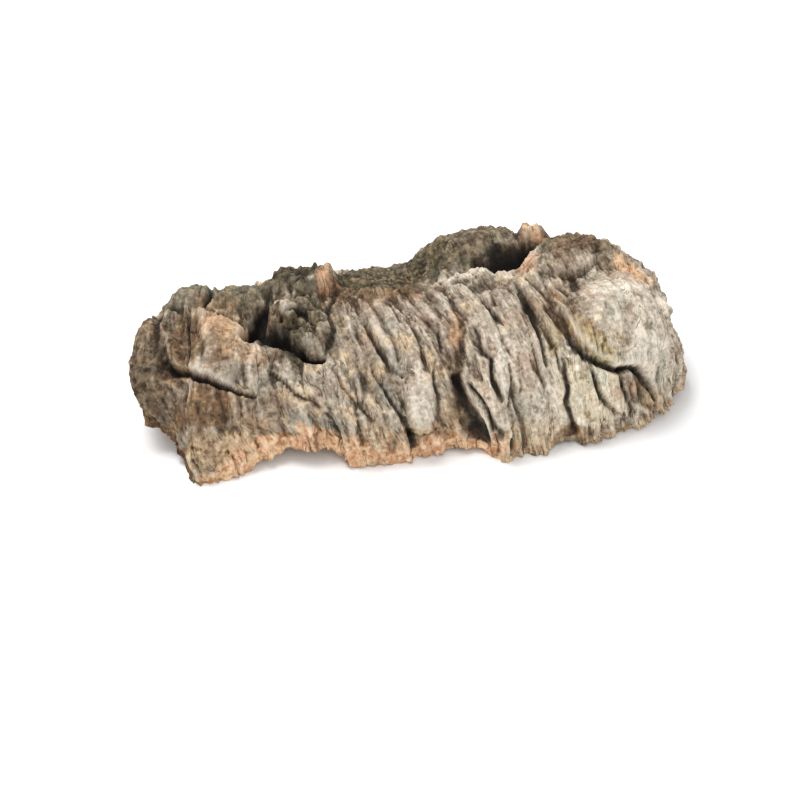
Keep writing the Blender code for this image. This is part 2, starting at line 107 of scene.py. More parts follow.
# Humps and hollows: place x, a, half-sizes along and round, height, and the flat share of the top.
LUMPS = {
    "left lobe": (-136, -32, 10, 42, 4.0, 0.3),
    "left lobe's head": (-136, -8, 8, 12, 2.5, 0.4),
    "left panel": (-116, -20, 9, 24, -3.0, 0.5),
    "rear left lobe": (-113, 15, 15, 15, 8.0, 0.3),
    "rear middle lobe": (-88, 12, 14, 12, 6.0, 0.3),
    "upper knot": (-57, 19, 20, 15, 9.0, 0.75),
    "upper knot's corner": (-46, 18, 8, 12, 1.5, 0.7),
    "lower knot": (-57, -13, 15, 22, 7.0, 0.6),
    "lower knot's brow": (-66, -6, 7, 8, 3.0, 0.5),
    "lower knot's chin": (-52, -29, 9, 7, 4.5, 0.6),
    "lower knot's dent": (-61, -19, 6, 4, -4.5, 0.3),
    "smooth swelling": (6, -64, 8, 19, 2.6, 0.4),
    "rear lobe": (34, 40, 36, 22, 15.0, 0.35),
    "rear knob": (68, 34, 8, 9, 9.0, 0.55),
    "right rear lobe": (88, 20, 27, 22, 8.0, 0.4),
    "right dent": (84, -12, 9, 7, -3.5, 0.2),
    "right plate": (114, -36, 26, 26, 4.0, 0.6),
    "left flap hollow": (-76, -70, 22, 14, -3.0, 0.3),
    "crown dip": (40, -4, 8, 5, -3.0, 0.3),
    "lip of the crown hollow": (54, 8, 13, 9, -4.5, 0.2),
}

# Fissures: path of (x, a), half-width at its start and end, depth, and how far the bark stands proud
# beside it, above zero on the left of the path and below zero on its right.
FISSURES = {
    "long crack": ([(-128, -30), (-120, -38), (-107, -46), (-90, -52), (-77, -57)], (2.6, 0.9), 5.5, 2.4),
    "left valley": ([(-131, 4), (-131, -12), (-130, -26), (-125, -38)], (2.2, 4.4), 6.0, 0.0),
    "patch edge": ([(-110, 3), (-109, -12), (-106, -27), (-105, -38)], (1.2, 1.0), 1.5, 3.5),
    "panel's back edge": ([(-109, 2), (-100, -1), (-91, -6), (-84, -13)], (1.2, 1.8), 3.0, -1.5),
    "gap beside the knot": ([(-76, 1), (-78, -9), (-83, -20)], (3.4, 4.2), 14.0, 0.0),
    "gap below the knot": (
        [(-79, -14), (-70, -22), (-60, -29), (-51, -36), (-43, -37)], (4.4, 1.6), 14.0, 0.0,
    ),
    "knot's right side": ([(-43, -37), (-39, -20), (-42, -6), (-39, 8)], (1.4, 1.4), 2.4, 0.0),
    "knot's fold": ([(-68, -13), (-60, -9), (-53, -12), (-49, -20)], (1.2, 1.2), 3.5, 1.5),
    "knot's crease": ([(-60, -2), (-52, -3), (-44, -9)], (1.0, 1.4), 3.0, -1.5),
    "thin crack": ([(-22, -18), (-17, -32), (-10, -46), (-4, -52)], (1.1, 0.9), 3.5, 1.5),
    "middle groove": ([(-31, -27), (-27, -44), (-20, -57), (-12, -67)], (3.2, 2.6), 3.0, 0.0),
    "middle crack": ([(-18, -48), (-14, -55), (-9, -64), (-3, -73), (2, -84)], (1.1, 1.6), 4.5, 1.5),
    "short upper crack": ([(-11, -7), (-6, -20)], (0.9, 0.8), 2.2, 0.0),
    "short middle crack": ([(14, -23), (16, -38)], (0.9, 0.9), 2.4, 0.0),
    "crack beside the swelling": ([(13, -44), (12, -55), (16, -64)], (0.9, 0.9), 2.4, 0.0),
    "flap's crack": ([(-71, -42), (-65, -48), (-58, -56), (-50, -60)], (0.9, 0.9), 2.2, 1.0),
    "swelling's foot": ([(-4, -79), (6, -83), (18, -80)], (1.2, 1.2), 1.5, 3.0),
    "deep groove": (
        [(24, -53), (26, -62), (28, -69), (31, -77), (35, -86), (39, -97)], (2.4, 6.0), 11.0, 1.5,
    ),
    "groove's branch": ([(31, -58), (36, -67), (41, -76), (47, -87)], (0.9, 2.0), 4.5, 1.5),
    "brown groove": ([(21, -8), (24, -18), (27, -31), (27, -41), (25, -52), (26, -60)], (1.9, 2.4), 3.4, 0.0),
    "side groove": ([(34, -31), (37, -43), (42, -49), (43, -60), (47, -71)], (1.2, 1.6), 4.0, 0.0),
    "upper crack": ([(37, -15), (42, -23), (47, -31)], (1.2, 1.2), 3.0, 0.0),
    "crown crack": (
        [(54, 1), (57, -6), (61, -18), (64, -29), (66, -36), (68, -44), (70, -56)], (2.4, 1.4), 5.5, 1.0,
    ),
    "crown hollow": ([(37, 17), (48, 18), (58, 20), (67, 24)], (5.0, 4.4), 14.0, 0.0),
    "crown rim": ([(8, 24), (22, 17), (35, 11), (50, 4), (62, -1)], (1.2, 1.2), 0.5, -3.5),
    "right crack": (
        [(72, -25), (78, -35), (84, -46), (90, -55), (97, -60), (106, -63), (114, -62), (122, -65),
         (128, -72), (131, -80)],
        (2.8, 1.8), 5.8, 3.6,
    ),
    "right hollow": ([(120, -64), (122, -80)], (4.4, 3.6), 6.5, 0.0),
    "rear lobe's brow": ([(66, 2), (78, -5), (90, -5), (101, 4)], (1.4, 1.4), 1.5, 4.0),
    "between the rear lobes": ([(-102, 28), (-104, 12), (-106, 2)], (1.6, 1.8), 4.5, 0.0),
    "behind the left lobe": ([(-137, 3), (-130, 6), (-124, 6), (-118, 4)], (1.2, 1.4), 3.5, 0.0),
    "foot notch": ([(53, -92), (55, -104)], (1.6, 3.0), 5.0, 0.0),
    "left foot notch": ([(1, -80), (3, -94)], (1.6, 2.6), 5.5, 0.0),
    "first right cleft": ([(79, -54), (81, -66), (82, -80), (87, -97)], (1.1, 1.9), 4.0, 1.5),
    "second right cleft": ([(92, -59), (95, -67), (100, -78), (108, -89)], (1.0, 1.7), 3.6, 1.5),
    "third right cleft": ([(108, -62), (110, -73), (115, -85)], (1.0, 1.5), 3.2, 1.0),
}
PROUD_REACH = 14.0
LIP_RUN = 0.9
FISSURE_END = 0.12
FISSURE_FLOOR, FISSURE_EDGE = 0.3, 1.4
FISSURE_WANDER, FISSURE_WANDER_SIZE = 1.1, 8.0
FISSURE_STRAY = 0.5
LUMP_EDGE = 1.25

# Plates of cork between narrow clefts: width, length, cleft half-width, cleft depth, and step between plates.
BROAD_PLATES = (9.5, 62.0, 1.2, 3.2, 2.0)
NARROW_PLATES = (3.8, 24.0, 0.8, 1.1, 0.9)
BLOCKS = (9.0, 10.0, 1.1, 2.4, 2.6)
PLATE_TILT, PLATE_LEVEL, PLATE_TONES = 0.35, 0.3, 9.7
# How deep the clefts stay everywhere, the size of the spots where they open, and how sharply they open.
CLEFT_SHARE, CLEFT_SPOT_ALONG, CLEFT_SPOT_AROUND, CLEFT_OPENS = 0.28, 12.0, 22.0, (-0.12, 0.22)
# How the ridge lines waver: how far, and over what length along and round.
LONG_WAVER = (2.6, 30.0, 26.0)
SHORT_WAVER = (1.1, 9.0, 14.0)
# Where the bark is plain: place x, a, half-sizes along and round, and how far its ridges fade.
PLAIN_PLACES = [
    (114, -28, 30, 32, 0.75), (-97, -30, 14, 26, 0.75), (6, -65, 8, 17, 0.8), (-64, -4, 10, 8, 0.7),
    (93, -76, 24, 18, 0.65), (-104, -66, 18, 14, 0.4), (-64, -64, 16, 16, 0.35),
]
# Where the bark is crumbly instead of ridged: place x, a, half-sizes along and round, and how blocky it is.
CRUMBLY_PLACES = [(-56, 18, 20, 18, 0.35), (-57, -14, 17, 24, 1.0), (-100, 18, 32, 20, 0.25)]
# The crumbly crown: where it starts and ends along x and round the arch, and how blocky it is.
CROWN_LEFT, CROWN_FRONT, CROWN_BACK, CROWN_BLOCKS = (-45, -35), (-2, 8), (50, 66), 0.3
CRUMB_SIZE, CRUMB_HEIGHT = 5.0, 1.9
FINE_CRUMB_SIZE, FINE_CRUMB_SHARE = 2.2, 0.45
RIDGES_WHERE_CRUMBLY, CRUMBS_WHERE_RIDGED = 0.15, 0.25
BROAD_WAVE, BROAD_WAVE_SIZE = 3.0, 34.0
DEEPEST_SHARE = 0.72

COLUMNS = 312
ROWS = 225
INNER_STEP = 3
BAND_ROWS = 6
SOLE_ROWS = 9


def rail(stations, at, blend=CORNER_BLEND):
    """A station list read at any place, with its corners rounded over the blend length."""
    places, values = zip(*stations)
    spread = np.linspace(-blend, blend, 9)
    return np.mean([np.interp(at + d, places, values) for d in spread], axis=0)


def smooth(low, high, at):
    """0 below low, 1 above high, and a smooth rise between."""
    t = np.clip((at - low) / (high - low), 0, 1)
    return t * t * (3 - 2 * t)


def perlin(*axes):
    """Perlin noise at points given as arrays of x, y and z, each already divided by the wanted size.

    Where the last one is a fixed number, it keeps one use of the noise apart from the others.
    """
    points = np.stack(np.broadcast_arrays(*axes), axis=-1)
    flat = [noise.noise(Vector(p)) for p in points.reshape(-1, 3)]
    return np.array(flat).reshape(points.shape[:-1])


def crest_x(u):
    """Where the ridge line at share u along the arch crosses the crest."""
    left, right = rail(LEFT_END_X, 0.5, END_BLEND), rail(RIGHT_END_X, 0.5, END_BLEND)
    return left + (right - left) * u


def arch(u, v, inner=False):
    """Points of the smooth arch, or of its inner side, at shares u along it and v round it."""
    left, right = rail(LEFT_END_X, v, END_BLEND), rail(RIGHT_END_X, v, END_BLEND)
    lean = rail(LEAN, crest_x(u), 2 * CORNER_BLEND) - rail(LEAN, crest_x(0 * u), 2 * CORNER_BLEND)
    x = left + (right - left) * u + lean * rail(LEAN_SHARE, v, END_BLEND)
    side, rise = np.cos(np.pi * v), np.sin(np.pi * v)
    wall_foot, wall_crest = (WALL_AT_FOOT, WALL_AT_CREST) if inner else (0.0, 0.0)
    front = rail(FRONT_FOOT_Y, x, FOOT_BLEND) + wall_foot
    back = rail(BACK_FOOT_Y, x) - wall_foot
    crest = rail(CREST_Y, x)
    y = crest - np.where(side > 0, crest - front, back - crest) * side
    band = 0.0 if inner else front_band(x)
    foot = np.where(side > 0, rail(FRONT_FOOT_Z, x, FOOT_BLEND), rail(BACK_FOOT_Z, x)) + band
    z = foot + (rail(CREST_Z, x) - wall_crest - foot) * rise
    return np.stack([x, y, z], axis=-1)


def front_band(x):
    """Height of the broken face along the front edge."""
    return rail(FRONT_BAND, x) * (1 + BAND_UNEVENNESS * perlin(x / BAND_WAVE_SIZE, 0.5, 2.5))


def inner_side(u, v):
    """Points of the hollow's own surface, gently waved, and cut level where a foot stands."""
    surface = arch(u, v, inner=True)
    surface[..., 2] += INNER_WAVE * perlin(*np.moveaxis(surface / INNER_WAVE_SIZE, -1, 0)) * np.sin(np.pi * v)
    surface[..., 2] = np.maximum(surface[..., 2], 0)
    return surface


def outward(surface):
    """Unit normals of a grid of points, pointing out of the bark."""
    normal = np.cross(np.gradient(surface, axis=0), np.gradient(surface, axis=1))
    return normal / np.linalg.norm(normal, axis=-1, keepdims=True)


def way_from_crest(surface):
    """How far each grid point lies round the arch from its crest, below zero at the front."""
    steps = np.linalg.norm(np.diff(surface[..., 1:], axis=1), axis=-1)
    way = np.concatenate([np.zeros((len(surface), 1)), np.cumsum(steps, axis=1)], axis=1)
    return way - way[:, [way.shape[1] // 2]]


def near(x, a, place_x, place_a, along, around, full=0.7, gone=1.15):
    """1 near a place, fading to 0 about its half-sizes along and round."""
    return 1 - smooth(full, gone, np.hypot((x - place_x) / along, (a - place_a) / around))


def lumps(x, a):
    """Height of all the humps and hollows at each place."""
    return sum(rise * near(x, a, *place, flat, LUMP_EDGE) for *place, rise, flat in LUMPS.values())


def from_path(x, a, path):
    """How far each place lies from a path, on which side of it, and at what share of its length."""
    nearest = np.full_like(x, 1e9)
    side = np.zeros_like(x)
    share = np.zeros_like(x)
    for n, ((x0, a0), (x1, a1)) in enumerate(zip(path, path[1:])):
        dx, da = x1 - x0, a1 - a0
        held = np.clip(((x - x0) * dx + (a - a0) * da) / (dx * dx + da * da), 0, 1)
        away = np.hypot(x - x0 - held * dx, a - a0 - held * da)
        closer = away < nearest
        nearest = np.where(closer, away, nearest)
        side = np.where(closer, np.sign(dx * (a - a0) - da * (x - x0)), side)
        share = np.where(closer, (n + held) / (len(path) - 1), share)
    return nearest, side, share


def fissure(x, a, path, half_widths, depth, proud):
    """One fissure: a groove cut along its path, with the bark proud on one side of it."""
    nearest, side, share = from_path(x, a, path)
    half_width = half_widths[0] + (half_widths[1] - half_widths[0]) * share
    cut = depth * (1 - smooth(FISSURE_FLOOR, FISSURE_EDGE, nearest / half_width))
    cut *= np.sqrt(np.sin(np.pi * (FISSURE_END + (1 - 2 * FISSURE_END) * share)))
    lip = abs(proud) * np.sqrt(np.sin(np.pi * share)) * np.exp(-nearest / PROUD_REACH)
    lip *= smooth(-LIP_RUN, LIP_RUN, side * nearest * np.sign(proud))
    return lip - cut


def plates(q, a, layer, width, length, cleft, depth, step):
    """Long plates of cork, each at its own height and tilt, and the narrow clefts round them."""
    tops, clefts = np.empty(q.size), np.empty(q.size)
    for k, (across, along) in enumerate(zip(q.ravel() / width, a.ravel() / length)):
        place = Vector((across, along, layer))
        own, other = noise.voronoi(place)[1][:2]
        gap = (other - own).normalized()
        border = ((own + other) / 2 - place).dot(gap) / np.hypot(gap.x / width, gap.y / length)
        here, beyond = (plate_top(seed, across, width, step) for seed in (own, other))
        share = 0.5 + 0.5 * min(1.0, border / cleft)
        tops[k] = share * here + (1 - share) * beyond
        clefts[k] = depth * max(0.0, 1 - border / (2 * cleft)) ** 1.5
    return tops.reshape(q.shape), clefts.reshape(q.shape)


def plate_top(seed, across, width, step):
    """Height of one plate's tilted top."""
    tone = noise.cell(seed * PLATE_TONES)
    return step * (tone - 0.5) + PLATE_TILT * (tone - PLATE_LEVEL) * (across - seed.x) * width


def waver(x, a):
    """How far the ridge lines stray sideways."""
    return sum(
        far * perlin(x / along, a / around, 4.0 * n + 0.5)
        for n, (far, along, around) in enumerate((LONG_WAVER, SHORT_WAVER))
    )


def strayed(x, a):
    """The places that the fissures are laid out on, a little off the true ones so that they wander."""
    wander = FISSURE_WANDER * perlin(x / FISSURE_WANDER_SIZE, a / FISSURE_WANDER_SIZE, 12.5)
    return x + FISSURE_STRAY * waver(x, a) + wander, a - wander


def relief(x, a, q, points):
    """Height of the bark's outside above the smooth arch, at ridge lines q."""
    stray = waver(x, a)
    broad_tops, broad_clefts = plates(q + stray, a, 0.5, *BROAD_PLATES)
    narrow_tops, narrow_clefts = plates(q + stray, a, 3.5, *NARROW_PLATES)
    blocks, block_clefts = plates(x + stray, a - 2 * stray, 8.5, *BLOCKS)
    opened = smooth(*CLEFT_OPENS, perlin(x / CLEFT_SPOT_ALONG, a / CLEFT_SPOT_AROUND, 2.5))
    broad_clefts *= CLEFT_SHARE + (1 - CLEFT_SHARE) * opened
    crumbly, blocky = crumbliness(x, a)
    ridged = broad_tops + narrow_tops - broad_clefts - narrow_clefts
    ridged *= (1 - (1 - RIDGES_WHERE_CRUMBLY) * crumbly) * (1 - plainness(x, a))
    grid = points / CRUMB_SIZE
    crumbs = perlin(*np.moveaxis(grid, -1, 0))
    crumbs += FINE_CRUMB_SHARE * perlin(*np.moveaxis(grid * CRUMB_SIZE / FINE_CRUMB_SIZE, -1, 0))
    crumbs *= CRUMB_HEIGHT * (CRUMBS_WHERE_RIDGED + (1 - CRUMBS_WHERE_RIDGED) * crumbly)
    height = lumps(x, a) + BROAD_WAVE * perlin(x / BROAD_WAVE_SIZE, a / BROAD_WAVE_SIZE, 9.5)
    height += ridged + crumbs + (blocks - block_clefts) * blocky
    laid_x, laid_a = strayed(x, a)
    for path, half_widths, depth, proud in FISSURES.values():
        height += fissure(laid_x, laid_a, path, half_widths, depth, proud)
    return height


def plainness(x, a):
    """How plain the bark is at each place, from 0 to 1."""
    return np.max([share * near(x, a, *place) for *place, share in PLAIN_PLACES], axis=0)


def crumbliness(x, a):
    """How crumbly the bark is at each place, and how much it is broken into blocks, from 0 to 1."""
    crown = smooth(*CROWN_FRONT, a) * (1 - smooth(*CROWN_BACK, a)) * smooth(*CROWN_LEFT, x)
    crumbly, blocky = crown, CROWN_BLOCKS * crown
    for *place, blocks in CRUMBLY_PLACES:
        here = near(x, a, *place)
        crumbly = crumbly + here
        blocky = blocky + blocks * here
    return np.clip(crumbly, 0, 1), np.clip(blocky, 0, 1)


def border(grid):
    """The border of a grid, once round: the front foot, the right end, the back foot, and the left end."""
    return np.concatenate([grid[:-1, 0], grid[-1, :-1], grid[:0:-1, -1], grid[0, :0:-1]])


def broken_edge(outer, base, normal, u, v):
    """Rows of points round the edge, from the outside's border down the broken face and in below."""
    side_v = border(v)
    away = border(base) - border(np.pad(base[1:-1, 1:-1], ((1, 1), (1, 1), (0, 0)), mode="edge"))
    away /= np.linalg.norm(away, axis=-1, keepdims=True)
    top, facing = border(outer), border(normal)
    at_foot = 1 - smooth(0.0, FOOT_SHARE, np.minimum(side_v, 1 - side_v))
    reach = END_REACH + (front_band(top[:, 0]) - END_REACH) * at_foot
    sink = END_SINK * (1 - at_foot) - FOOT_FLARE * at_foot
    shake = BREAK_ROUGHNESS * perlin(*(top / BREAK_SIZE).T)
    corner = top + away * (reach + shake)[:, None] - facing * (sink + BREAK_SINK * shake)[:, None]
    corner[:, 2] = np.maximum(corner[:, 2], 0)
    rows = []
    for n in range(1, BAND_ROWS):
        crumb = BREAK_ROUGHNESS * perlin(*(top / BREAK_SIZE + n).T)
        rows.append(top + (corner - top) * n / BAND_ROWS + facing * crumb[:, None])
    inner_edge = inner_side(border(u), side_v)
    rows += [corner + (inner_edge - corner) * n / SOLE_ROWS for n in range(SOLE_ROWS)]
    return np.array(rows)


def ring_faces(outer_ring, inner_ring):
    """Quads between two rings of as many points."""
    a, b = outer_ring, inner_ring
    return np.stack([np.roll(a, -1), a, b, np.roll(b, -1)], axis=-1).tolist()


def stitch_faces(fine, coarse, step):
    """Triangles between a ring of points and one that has a point for every step of them."""
    faces = []
    for m in range(len(coarse)):
        ends = coarse[m], coarse[(m + 1) % len(coarse)]
        turn = (step + 1) // 2
        for t in range(step):
            k = m * step + t
            faces.append((fine[(k + 1) % len(fine)], fine[k], ends[0] if t < turn else ends[1]))
        faces.append((fine[m * step + turn], *ends))
    return faces


def grid_faces(index, flip=False):
    """Quads over a grid of points, given as the grid of their numbers."""
    quads = np.stack([index[:-1, :-1], index[1:, :-1], index[1:, 1:], index[:-1, 1:]], axis=-1).reshape(-1, 4)
    return (quads[:, ::-1] if flip else quads).tolist()


# Colours as sRGB tones from 0 to 255.
TONES = {
    "bark light": (190, 177, 160), "bark": (155, 141, 124), "bark dark": (106, 92, 75),
    "pale light": (230, 219, 202), "pale": (200, 187, 168), "pale dark": (150, 135, 114),
    "dark light": (124, 110, 85), "dark": (80, 70, 51), "dark dark": (36, 30, 20),
    "brown light": (152, 120, 87), "brown": (113, 87, 62), "brown dark": (68, 49, 33),
    "tan light": (222, 197, 160), "tan": (184, 156, 121), "tan dark": (130, 104, 76),
    "cork light": (248, 218, 182), "cork": (228, 188, 150), "cork dark": (186, 136, 94),
    "cream light": (252, 243, 222), "cream": (222, 207, 178), "cream dark": (158, 136, 102),
    "olive light": (206, 188, 140), "olive": (172, 150, 104), "olive dark": (114, 95, 60),
    "belly light": (190, 152, 116), "belly": (160, 122, 88), "belly dark": (112, 80, 54),
    # The darkest tone below is painted shade for fissure floors, hollows and holes; the cleft tone is painted
    # shade in low places and also colours specks and fine cracks.
    "lichen": (139, 146, 128), "cleft": (46, 35, 25), "deep_shade": (16, 12, 9), "rust": (174, 98, 50),
    "rosy": (226, 204, 198), "cool": (208, 220, 222),
    "floor light": (254, 254, 254), "floor dark": (250, 250, 250),
}
# Between which values a kind goes from its dark tone over its middle one to its light one.
TONE_SPREAD = (0.3, 0.7)

# Where the bark's colour differs, by kind: place x, a, half-sizes along and round, and strength.
# "crazed" has a fine net of joints, "calm" has weaker streaks, and the kind for holes is
# painted shade in the gaps, hollows and holes, and also darkens the upper knot's top.
PATCHES = {
    "cork": [
        (-100, -11, 9, 12, 0.28), (-91, -22, 10, 11, 0.28), (-79, -33, 8, 7, 0.25),
        (-44.5, 13, 3, 11, 0.45), (69, 30, 7, 8, 0.5), (86, -94, 3, 4, 0.4), (117, -71, 3, 6, 0.4),
        (119, 8, 12, 7, 0.75), (-86, -85, 12, 7, 0.4), (-34, -90, 14, 9, 0.8), (-68, -86, 14, 6, 0.95),
        (42, -95, 9, 7, 0.8), (24, -27, 3, 11, 0.45), (62, 12, 6, 6, 0.5),
    ],
    "tan": [
        (-98, -86, 20, 11, 0.8), (-80, -78, 12, 12, 0.5), (10, -84, 20, 7, 0.8), (126, -74, 10, 8, 0.7),
        (60, -98, 40, 12, 0.6), (-20, -86, 14, 10, 0.6), (22, -76, 6, 14, 0.5), (70, -28, 9, 12, 0.4),
        (-94, -16, 12, 16, 0.4),
    ],
    "brown": [
        (-96, -17, 15, 20, 0.75), (-44.5, 12, 4, 13, 0.95), (66, 30, 10, 10, 1.0), (-88, -62, 12, 13, 0.4),
        (112, 3, 14, 9, 0.6), (92, 14, 16, 12, 0.4), (-104, -62, 18, 13, 0.95), (-98, -60, 9, 6, 0.6),
        (24, -34, 5, 24, 0.7), (78, -28, 8, 14, 0.6), (86, -40, 5, 9, 0.35), (86, -96, 6, 6, 0.9),
        (119, -72, 7, 9, 0.85), (27, -74, 6, 18, 0.6), (-117, -22, 10, 28, 0.7), (8, -82, 12, 4, 0.5),
        (84, -2, 12, 6, 0.5), (-14, 2, 28, 7, 0.6), (-136, -34, 12, 40, 0.45), (-35, 6, 9, 9, 0.7),
        (-66, -58, 12, 6, 0.5), (-100, 4, 14, 6, 0.5), (-55, -84, 12, 4, 0.2),
    ],
    "dark": [
        (-15, 18, 34, 14, 1.0), (-12, 32, 38, 16, 0.9), (-100, 32, 34, 18, 0.75), (8, 30, 14, 16, 1.0),
        (-60, 24, 18, 18, 1.0), (-58, -12, 18, 26, 0.9), (-136, -30, 12, 44, 0.7), (-118, -18, 10, 22, 0.8),
        (34, 40, 38, 28, 0.85), (88, 18, 22, 16, 0.85), (-113, 18, 22, 18, 0.8), (-85, 10, 16, 18, 0.85),
        (-16, 10, 34, 10, 0.7), (-128, -62, 14, 22, 0.6), (54, 21, 16, 8, 1.0), (36, 2, 18, 5, 0.45),
        (-38, -20, 4, 20, 0.5), (-20, -50, 5, 16, 0.35), (62, -26, 5, 14, 0.5),
    ],
    "pale": [
        (112, -30, 18, 26, 0.9), (126, -32, 30, 40, 0.9), (90, -80, 38, 26, 1.0), (7, -63, 8, 16, 0.8),
        (52, -62, 24, 38, 0.6), (78, -70, 16, 22, 0.6), (36, 8, 26, 4, 0.8), (-60, -62, 16, 16, 0.2),
        # The last two patches on the next line and the one after them are painted highlights on the lower
        # knot.
        (96, 0, 10, 6, 0.8), (-12, -72, 12, 12, 0.35), (-65, 1, 6, 4, 0.8), (-62, -9, 3.5, 3, 0.8),
        (-52, -30, 6, 3, 0.35),
    ],
    "cream": [
        (95, -76, 20, 18, 0.7), (82, -65, 7, 14, 0.5), (104, -48, 4, 9, 0.6),
    ],
    "olive": [
        (77, -33, 4, 7, 0.6), (84, -39, 4, 6, 0.7), (90, -45, 4, 6, 0.8), (95, -51, 4.5, 6, 0.85),
        (100, -57, 5, 5, 0.85), (75, -42, 4, 11, 0.5),
    ],
    "lichen": [
        (-113, 12, 16, 14, 0.15), (-88, 12, 12, 10, 0.15), (-50, -76, 14, 9, 0.4), (108, -34, 10, 14, 0.2),
        (20, 18, 10, 6, 0.1),
    ],
    "crazed": [
        (124, -36, 27, 30, 1.0),
    ],
    "calm": [
        (50, -45, 22, 42, 0.55), (-20, -40, 18, 35, 0.35),
    ],
    # Painted shade in the gaps, hollows and holes, which also darkens the upper knot's top.
    "hole_shade": [
        (-80, -7, 4, 8, 0.9), (-67, -22, 10, 6, 0.95), (-64, 14, 12, 8, 0.3), (-58, -32, 6, 2.5, 0.8),
        (34, -85, 6, 8, 0.9), (50, 21, 12, 5, 0.9), (61, 24, 8, 4.5, 0.9), (74, 30, 2.5, 6, 0.6),
        (2.5, -86, 3, 4, 0.6), (46.5, -87, 1.6, 3, 0.8), (-127, -36, 5, 4, 0.5), (63, -27, 2, 8, 0.45),
        (-26, 2, 1.6, 1.6, 0.8), (-62, 17, 14, 14, 0.4), (-102, -66, 15, 11, 0.12), (-11, -6, 1.6, 2, 0.7),
        (40, -4, 6, 3, 0.45), (43, -25, 1.4, 5, 0.5), (118, -76, 2.5, 6, 0.6), (85, -96, 2, 5, 0.6),
    ],
}
PATCH_EDGE, PATCH_RAGGEDNESS = (0.7, 1.3), 0.45
# The noises that make the patches ragged: sizes along and round, layer, and share.
RAGGED_NOISES = ((7.0, 8.0, 1.5, 1.0), (2.6, 3.5, 6.5, 0.6))

# The rim: where its cork starts, is full, starts to fade and is gone along x, how ragged both ends are, and
# what is left of it at the back.
RIM_CORK_X, RIM_CORK_RAGGEDNESS, BACK_RIM_SHADE = (-114, -98, 40, 62), (6, 20), 0.4
# How the cork creeps up from it: between which heights it fades, how ragged it is, and its strength.
RIM_CREEP, CREEP_RAGGEDNESS, CREEP_STRENGTH = (0.5, 7.0), 5, 0.9
# The brown stains above its right part: heights, spots, the run along x that they start in, and strength.
RIM_STAIN, STAIN_SPOTS, STAIN_RUN, STAIN_STRENGTH = (3.0, 13.0), (0.1, 0.5), 20, 0.85
# The broken face: its cork, its tan and how ragged that is, its brown weathered spots, and its dark left end.
RIM_CORK, RIM_TAN, RIM_TAN_RAGGEDNESS, RIM_TAN_LEAST = 0.85, 0.8, 0.6, 0.25
WEATHERED_SPOTS, WEATHERED_SHARE, WEATHERED_AT_FRONT = (0.1, 0.7), 0.8, 0.25
LEFT_RIM_X, LEFT_RIM_DARK = (-95, -115), 0.5

# The fissures as lines: painted shade on their floors, and a painted highlight on the lips of those that
# stand proud and cut deep enough.
CRACK_FLOOR, CRACK_WIDEST, CRACK_STEEP = (0.3, 1.1), 1.7, 2.4
LEAST_PROUD, LEAST_DEEP, LIP_START, LIP_STOP = 2.0, 3.0, (1.0, 1.3), (1.5, 2.2)
# How the height shows in the colour, as painted shade and highlight: reach of the surroundings in cells,
# and the height that counts in full.
RIDGE_REACH, RIDGE_FULL = 3, 1.8
SWELL_REACH, SWELL_FULL = 12, 8.0

# The finest relief: fibres and chips, described as the plates above are, and the grains and grit on them.
FIBRE_PLATES = (1.9, 13.0, 0.5, 0.65, 0.3)
CHIPS = (4.6, 5.4, 0.8, 1.2, 0.8)
GRAIN_SIZE, GRAIN_HEIGHT, GRAINS_WHERE_RIDGED = 2.2, 0.7, 0.4
GRIT_ACROSS, GRIT_ALONG, GRIT_SHARE = 2.0, 6.0, 0.7
FIBRES_LOST_WHERE_CRUMBLY, FIBRES_LOST_WHERE_PLAIN = 0.7, 0.6
# The crumbs on the broken edge: size and height, and how far apart the noises for x, y and z are read.
EDGE_CRUMBS, EDGE_CRUMBS_APART = ((5.0, 1.1), (2.2, 0.6)), 7.5

# The colour's noises: waves in a metre, detail, and roughness.
NOISES = {
    "bend": (90.0, 1.0, 0.55), "broad": (38.0, 4.0, 0.55), "patchy": (150.0, 3.0, 0.55),
    "grain": (360.0, 3.0, 0.6), "grit": (520.0, 2.0, 0.55), "clouds": (105.0, 4.0, 0.55),
    "yellow": (75.0, 3.0, 0.55), "hue": (62.0, 4.0, 0.55), "specks": (430.0, 1.0, 0.55),
    "openings": (110.0, 1.0, 0.55), "floor": (3.0, 2.0, 0.55),
}
# The streaks along the ridges: size across and along, and detail.
STREAKS = {"fine": (1.4, 10.0, 2.5), "coarse": (5.0, 26.0, 3.0), "lines": (2.4, 26.0, 1.0)}
STREAK_ROUGHNESS, STREAK_BEND = 0.6, 5.0
# How much each noise counts in each sum.
WEIGHTS = {
    "streaks": {"fine": 0.75, "coarse": 0.6},
    "spots": {"grain": 0.5, "grit": 0.3, "patchy": 0.3},
    "clouds": {"clouds": 1.3},
    "broad": {"broad": 0.45},
    "crumbs": {"grain": 0.9, "patchy": 0.6, "grit": 0.4},
    "speckle": {"grit": 1.2, "grain": 0.5},
}
# How much the ridges count in both tones, as painted light on their tops and shade between them, and how
# strong the speckle, the calm places and the painted highlight on the lips are.
RIDGE_SHADING_IN_TONE, RIDGE_SHADING_IN_CRUMBS = 0.08, 0.14
SPECKLE_SHARE, CALMING, LIP_HIGHLIGHT = 0.28, 0.75, 0.45
# The crazed net: cells in a metre, and how far it is bent, in metres.
NET_SCALE, NET_BEND = 82.0, 0.016
